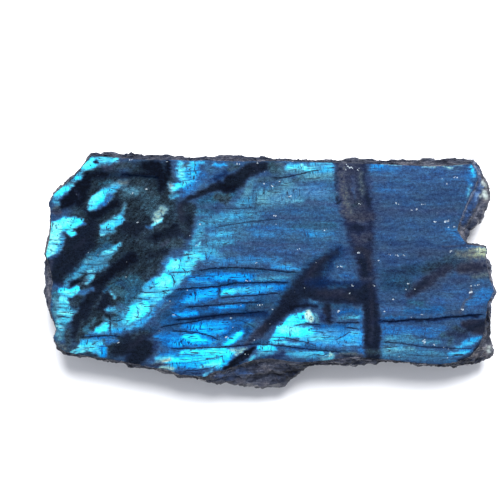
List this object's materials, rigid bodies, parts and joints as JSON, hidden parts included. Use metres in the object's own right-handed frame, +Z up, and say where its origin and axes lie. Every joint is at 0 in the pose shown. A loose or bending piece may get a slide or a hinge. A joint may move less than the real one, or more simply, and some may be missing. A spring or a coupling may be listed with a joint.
{
  "type": "rough labradorite chunk",
  "caption": "Blocky chunk of rough labradorite with a polished face that flashes blue, and broken, stepped sides. It lies on its back.",
  "frame": {"origin": "on the surface that the stone lies on, below the middle of its box", "axes": "+Z up, square to the polished face; +X along the long side, towards the end with the notch; +Y towards the straight long side"},
  "size_m": [0.1148, 0.0605, 0.02],
  "materials": {
    "labradorite": "one face polished, with a blue and cyan flash in dark grey-blue feldspar; the other sides broken and matt"
  },
  "bodies": {
    "root": {"labradorite_chunk": "labradorite"}
  },
  "joints": []
}
